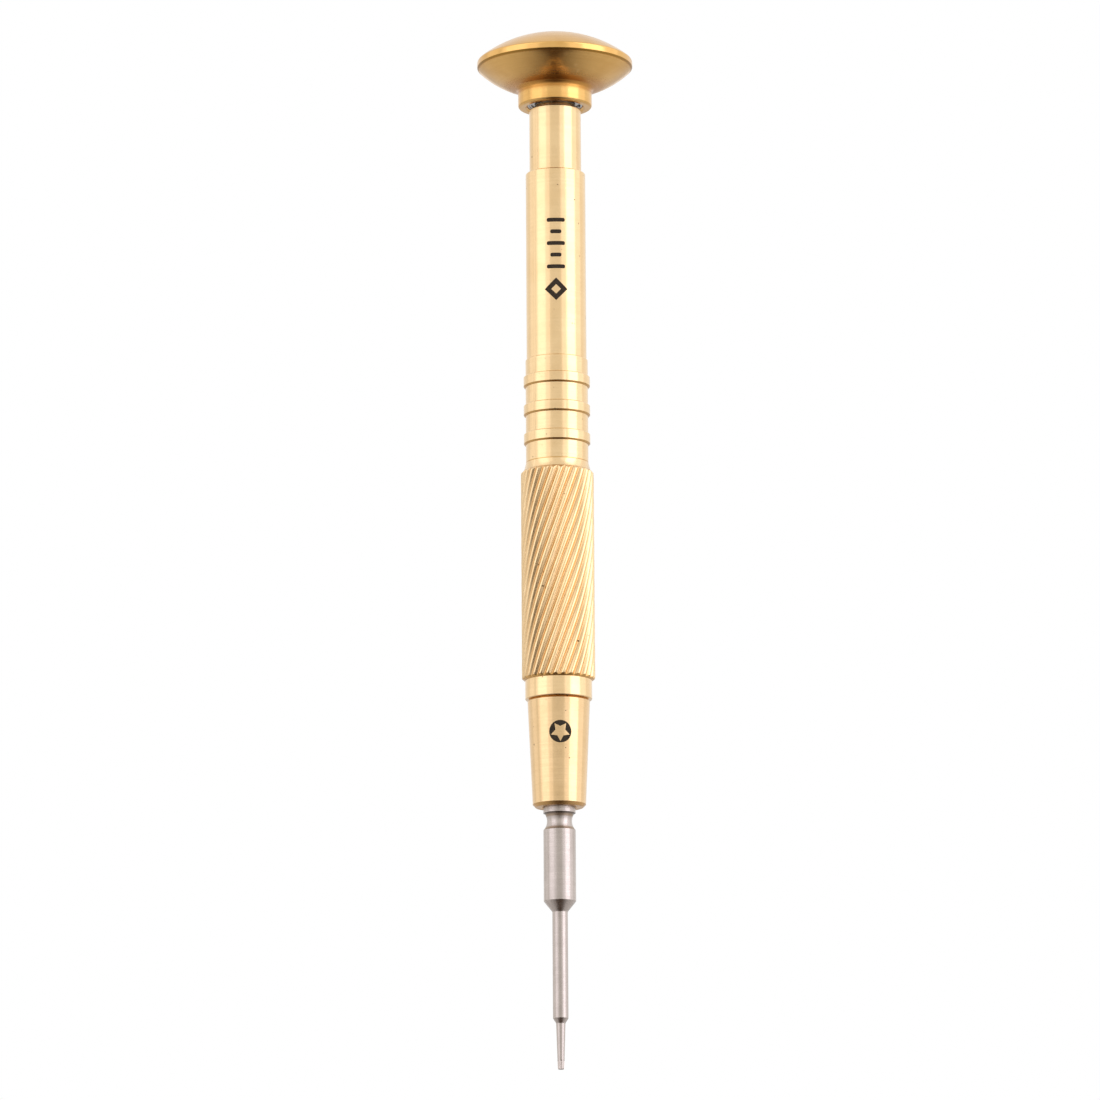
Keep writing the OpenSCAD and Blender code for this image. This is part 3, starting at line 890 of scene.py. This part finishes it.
def turned_metal(
    name,
    colour,
    shade,
    roughness,
    line_gap=0.09,
    specks=0.0,
    painted_shade=None,
    anisotropic=0.8,
):
    """Lathe-turned metal: lines round the axis, soft clouds and worn edges, then painted shade in
    grooves and corners (partly tarnished metal in the grip's valleys), and pits.
    """
    mat, tree, bsdf = shader(name, colour, 1.0, roughness, anisotropic)
    coords = node(tree, "ShaderNodeTexCoord").outputs["Object"]
    lines = noise(tree, coords, line_gap, 2.0, LINE_STRETCH, 0.6)
    fine = noise(tree, coords, GRAIN, 2.0)
    cloud = noise(tree, coords, CLOUD, 4.0)
    blotch = noise(tree, coords, BLOTCH)
    base = mix_colour(tree, ramp(tree, cloud, *CLOUD_MIX), colour, shade)
    base = mix_colour(tree, ramp(tree, lines, *LINE_MIX), base, shade)
    pointy = node(tree, "ShaderNodeNewGeometry").outputs["Pointiness"]
    worn = tuple(min(1.0, c * WORN_GAIN + WORN_LIFT) for c in colour)
    base = mix_colour(tree, ramp(tree, pointy, *WORN_MIX), base, worn)
    rough = ramp(tree, blotch, 0.3, 0.7, roughness * BLOTCH_LEAST, roughness * BLOTCH_MOST)
    rough = math_node(tree, "ADD", rough, ramp(tree, lines, *LINE_ROUGH))
    knurl = node(tree, "ShaderNodeAttribute", attribute_name="knurl").outputs["Fac"]
    turned = ramp(tree, knurl, 0.0, 1.0, LINE_DEPTH, KNURL_LINES * LINE_DEPTH)
    height = math_node(tree, "MULTIPLY", lines, turned)
    height = math_node(tree, "ADD", height, math_node(tree, "MULTIPLY", fine, GRAIN_DEPTH))
    # Painted shade: the groove attribute darkens grooves and corners, down to the corner colour; in the
    # grip's valleys this is partly tarnished metal too.
    if painted_shade:
        depth = node(tree, "ShaderNodeAttribute", attribute_name="groove").outputs["Fac"]
        dark = tuple(c * k for c, k in zip(shade, GROOVE_SHADE))
        base = mix_colour(tree, ramp(tree, depth, *GROOVE_MIX), base, dark)
        base = mix_colour(tree, ramp(tree, depth, *CORNER_MIX), base, painted_shade)
        rough = math_node(tree, "ADD", rough, ramp(tree, depth, *GROOVE_ROUGH))
    if specks:
        spots = noise(tree, coords, PIT, 1.0)
        pit = ramp(tree, spots, specks, specks + PIT_EDGE)
        pit_colour = tuple(c * PIT_SHADE for c in shade)
        base = mix_colour(tree, math_node(tree, "MULTIPLY", pit, PIT_MIX), base, pit_colour)
        rough = math_node(tree, "ADD", rough, math_node(tree, "MULTIPLY", pit, PIT_ROUGH))
        height = math_node(tree, "ADD", height, math_node(tree, "MULTIPLY", pit, -PIT_DEPTH))
    wire(tree, bsdf, base, rough, height)
    return mat


def ink_material():
    mat, tree, bsdf = shader("Laser_mark_black", INK, 0.0, 0.7, specular=0.15)
    coords = node(tree, "ShaderNodeTexCoord").outputs["Object"]
    grain = noise(tree, coords, INK_GRAIN, 4.0)
    base = mix_colour(tree, ramp(tree, grain, 0.35, 0.7), INK_DARK, INK_PALE)
    rough = ramp(tree, grain, 0.3, 0.7, 0.6, 0.8)
    wire(tree, bsdf, base, rough, math_node(tree, "MULTIPLY", grain, INK_DEPTH))
    return mat


def dress(obj, mat):
    obj.data.materials.clear()
    obj.data.materials.append(mat)


# ---------------------------------------------------------------- assembly
handle = build_handle()
nose = build_nose()
blade = build_blade()
cap = build_cap()
stand_for(handle, "handle")
stand_for(nose, "nose")
stand_for(blade, "blade")
stand_for(cap, "cap")
bearing = build_bearing() + build_balls()
marks = build_marks()

# Each metal's colour, the shade of its clouds, and the colour of the painted shade in its corners.
BRASS, BRASS_SHADE, BRASS_DARK = (0.83, 0.595, 0.32), (0.76, 0.52, 0.26), (0.62, 0.36, 0.12)
NOSE_BRASS, NOSE_SHADE = (0.78, 0.54, 0.285), (0.7, 0.47, 0.23)
GOLD, GOLD_SHADE, GOLD_DARK = (0.73, 0.43, 0.14), (0.62, 0.34, 0.095), (0.38, 0.2, 0.04)
STEEL, STEEL_SHADE, STEEL_DARK = (0.53, 0.46, 0.41), (0.44, 0.38, 0.335), (0.2, 0.16, 0.13)
# The bearing's steel is darker than bare chrome steel: painted shade of its recess in the cap's mouth.
BEARING_SHADED, BEARING_SHADED_CLOUD = (0.38, 0.36, 0.34), (0.28, 0.26, 0.24)

handle_brass = turned_metal("Handle_brass", BRASS, BRASS_SHADE, 0.22, specks=0.77, painted_shade=BRASS_DARK)
nose_brass = turned_metal("Nose_brass", NOSE_BRASS, NOSE_SHADE, 0.23, specks=0.78, painted_shade=BRASS_DARK)
cap_looks = {"line_gap": 0.12, "anisotropic": 0.35, "painted_shade": GOLD_DARK}
cap_brass = turned_metal("Cap_brass", GOLD, GOLD_SHADE, 0.2, **cap_looks)
blade_steel = turned_metal("Blade_steel", STEEL, STEEL_SHADE, 0.3, line_gap=0.07, painted_shade=STEEL_DARK)
shaded_bearing_steel = turned_metal("Bearing_steel", BEARING_SHADED, BEARING_SHADED_CLOUD, 0.16, line_gap=0.05, anisotropic=0.2)
black = ink_material()
dress(handle, handle_brass)
dress(nose, nose_brass)
dress(cap, cap_brass)
dress(blade, blade_steel)
for obj in bearing:
    dress(obj, shaded_bearing_steel)
for obj in marks:
    dress(obj, black)
CARRIED = {
    "bearing_cage": turned_metal("Cage_brass", GOLD, GOLD_SHADE, 0.3, line_gap=0.06, anisotropic=0.2),
    "retaining_washer": turned_metal("Washer_steel", STEEL, STEEL_SHADE, 0.28, line_gap=0.06),
    "retaining_screw": turned_metal("Screw_steel", STEEL, STEEL_SHADE, 0.26, line_gap=0.06),
}
for obj in bpy.context.scene.objects:
    if obj.get("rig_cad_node") in CARRIED:
        for material_slot in obj.material_slots:
            material_slot.material = CARRIED[obj["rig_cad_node"]]

# ---------------------------------------------------------------- camera
AIM_Z = 65.9 * MM
CAMERA_DISTANCE, CAMERA_BELOW = 0.8308, math.radians(11.4)
LENS, SENSOR = 218.3, 36.0
LEAN = math.radians(0.35)
AIM_LEFT, AIM_LOW = 0.97 * MM, 0.93 * MM

camera_data = bpy.data.cameras.new("Camera")
camera_data.lens, camera_data.sensor_width = LENS, SENSOR
camera_data.clip_start, camera_data.clip_end = 0.01, 100.0
camera = bpy.data.objects.new("Camera", camera_data)
bpy.context.scene.collection.objects.link(camera)
eye = Vector((0, -math.cos(CAMERA_BELOW), -math.sin(CAMERA_BELOW))) * CAMERA_DISTANCE
eye.z += AIM_Z
aim = Vector((-AIM_LEFT, 0, AIM_Z - AIM_LOW))
forward = (aim - eye).normalized()
right = forward.cross(Vector((0, 0, 1))).normalized()
up = right.cross(forward)
lean = Matrix.Rotation(LEAN, 3, forward)
right, up = lean @ right, lean @ up
camera.matrix_world = Matrix(
    (
        (right.x, up.x, -forward.x, eye.x),
        (right.y, up.y, -forward.y, eye.y),
        (right.z, up.z, -forward.z, eye.z),
        (0, 0, 0, 1),
    )
)
bpy.context.scene.camera = camera

# ---------------------------------------------------------------- studio
# Each box's name, azimuth span in degrees (0 is the camera's side, 90 is +X), and radiance.
SOFT_BOXES = (
    ("Soft_box_left_front", -84, -25, 0.42),
    ("Soft_box_left_core", -76, -42, 0.5),
    ("Soft_box_left_back", -118, -93, 0.25),
    ("Soft_box_right_front", 22, 106, 0.52),
    ("Soft_box_right_core", 42, 78, 1.3),
    ("Soft_box_right_back", 106, 150, 0.14),
)
BOX_DISTANCE, BOX_HEIGHT, BOX_ELEVATION = 2.0, 4.2, math.radians(12)
BOX_TINT = (0.85, 0.85, 1.0)


def soft_box(name, start, end, radiance):
    """A soft light that faces the tool and spans the azimuths from start to end."""
    width = 2 * BOX_DISTANCE * math.tan(math.radians(end - start) / 2)
    data = bpy.data.lights.new(name, "AREA")
    data.shape = "RECTANGLE"
    data.size, data.size_y = width, BOX_HEIGHT
    data.color = BOX_TINT
    data.energy = radiance * math.pi * width * BOX_HEIGHT
    light = bpy.data.objects.new(name, data)
    bpy.context.scene.collection.objects.link(light)
    azimuth, level = math.radians((start + end) / 2), math.cos(BOX_ELEVATION)
    towards = Vector((math.sin(azimuth) * level, -math.cos(azimuth) * level, math.sin(BOX_ELEVATION)))
    light.location = Vector((0, 0, AIM_Z)) + towards * BOX_DISTANCE
    light.rotation_mode = "QUATERNION"
    light.rotation_quaternion = towards.to_track_quat("Z", "Y")


for box in SOFT_BOXES:
    soft_box(*box)

world = bpy.data.worlds.new("Studio")
world.use_nodes = True
background = next(n for n in world.node_tree.nodes if n.type == "BACKGROUND")
background.inputs["Color"].default_value = (1, 1, 1, 1)
background.inputs["Strength"].default_value = 1.0
bpy.context.scene.world = world

# The floor in metres, the colours of the floor and of the dark sheet on it that paints dark reflections,
# and the roughness of both.
FLOOR_Z, FLOOR_HALF = -0.16, 30.0
FLOOR_PALE, REFLECTION_BROWN, MATT = (0.62, 0.62, 0.61), (0.05, 0.027, 0.013), 0.9
floor_mesh = bpy.data.meshes.new("Floor")
corner_signs = ((-1, -1), (1, -1), (1, 1), (-1, 1))
floor_corners = [(x * FLOOR_HALF, y * FLOOR_HALF, FLOOR_Z) for x, y in corner_signs]
floor_mesh.from_pydata(floor_corners, [], [(0, 1, 2, 3)])
floor = bpy.data.objects.new("Floor", floor_mesh)
bpy.context.scene.collection.objects.link(floor)
floor_mesh.materials.append(shader("Floor_pale", FLOOR_PALE, 0.0, MATT)[0])

# The dark sheet that paints dark reflections, in metres: half its width, its two ends, and the width of
# its cells.
SHEET_HALF_X, SHEET_LOW_Y, SHEET_HIGH_Y, SHEET_CELL = 0.66, -1.3, 0.57, 0.011
# Half the width of its fully dark core: at least, growth towards the camera, and at most.
CORE_LEAST, CORE_GROWTH, CORE_MOST = 0.012, 1.5, 0.12
# Where that growth starts, and up to where the edges go on changing.
CORE_START, SPREAD_STOP = 0.03, 0.3
# How softly it fades to the sides, and how that grows towards the camera and shrinks away from it.
SPREAD, SPREAD_GROWTH, SPREAD_LOSS = 0.1, 0.1, 0.15
# Where it starts to fade at the far end and at the near end, and over what length.
FAR_END, FAR_FADE, NEAR_END, NEAR_FADE = 0.42, 0.15, 0.9, 0.4


def bareness(x, y):
    """How much pale floor shows through the dark sheet of painted reflection: 0 down its middle, 1 far
    out.
    """
    nearer = max(0.0, -y - CORE_START)
    farther = max(0.0, min(SPREAD_STOP, y) - CORE_START)
    core = min(CORE_MOST, CORE_LEAST + CORE_GROWTH * nearer)
    spread = SPREAD + SPREAD_GROWTH * min(SPREAD_STOP, nearer) - SPREAD_LOSS * farther
    sides = 1 - math.exp(-max(0.0, abs(x) - core) / spread)
    ends = clamp01((y - FAR_END) / FAR_FADE) + clamp01((-y - NEAR_END) / NEAR_FADE)
    return min(1.0, sides + ends)


def painted_dark_reflection():
    """A painted dark reflection: a dark sheet on the floor under the tool and towards the camera, seen
    only in reflections.
    """
    length = SHEET_HIGH_Y - SHEET_LOW_Y
    columns, rows = round(2 * SHEET_HALF_X / SHEET_CELL), round(length / (2 * SHEET_CELL))
    places = [
        (SHEET_HALF_X * (2 * i / columns - 1), SHEET_LOW_Y + length * j / rows, 0)
        for j in range(rows + 1)
        for i in range(columns + 1)
    ]
    step = columns + 1
    faces = [
        (j * step + i, j * step + i + 1, (j + 1) * step + i + 1, (j + 1) * step + i)
        for j in range(rows)
        for i in range(columns)
    ]
    mesh = bpy.data.meshes.new("Painted_dark_reflection")
    mesh.from_pydata(places, [], faces)
    bare = mesh.attributes.new("bare", "FLOAT", "POINT")
    for item, (x, y, _) in zip(bare.data, places):
        item.value = bareness(x, y)
    reflector = bpy.data.objects.new("Painted_dark_reflection", mesh)
    reflector.location.z = FLOOR_Z + MM
    bpy.context.scene.collection.objects.link(reflector)
    mat, tree, bsdf = shader("Painted_dark_reflection", REFLECTION_BROWN, 0.0, MATT)
    share = node(tree, "ShaderNodeAttribute", attribute_name="bare").outputs["Fac"]
    clear = node(tree, "ShaderNodeBsdfTransparent").outputs[0]
    mix = node(tree, "ShaderNodeMixShader", {0: share, 1: bsdf.outputs[0], 2: clear})
    out = next(n for n in tree.nodes if n.type == "OUTPUT_MATERIAL")
    tree.links.new(mix.outputs[0], out.inputs["Surface"])
    mesh.materials.append(mat)
    reflector.visible_camera = reflector.visible_diffuse = reflector.visible_shadow = False


painted_dark_reflection()

bpy.context.scene.view_settings.view_transform = "Standard"
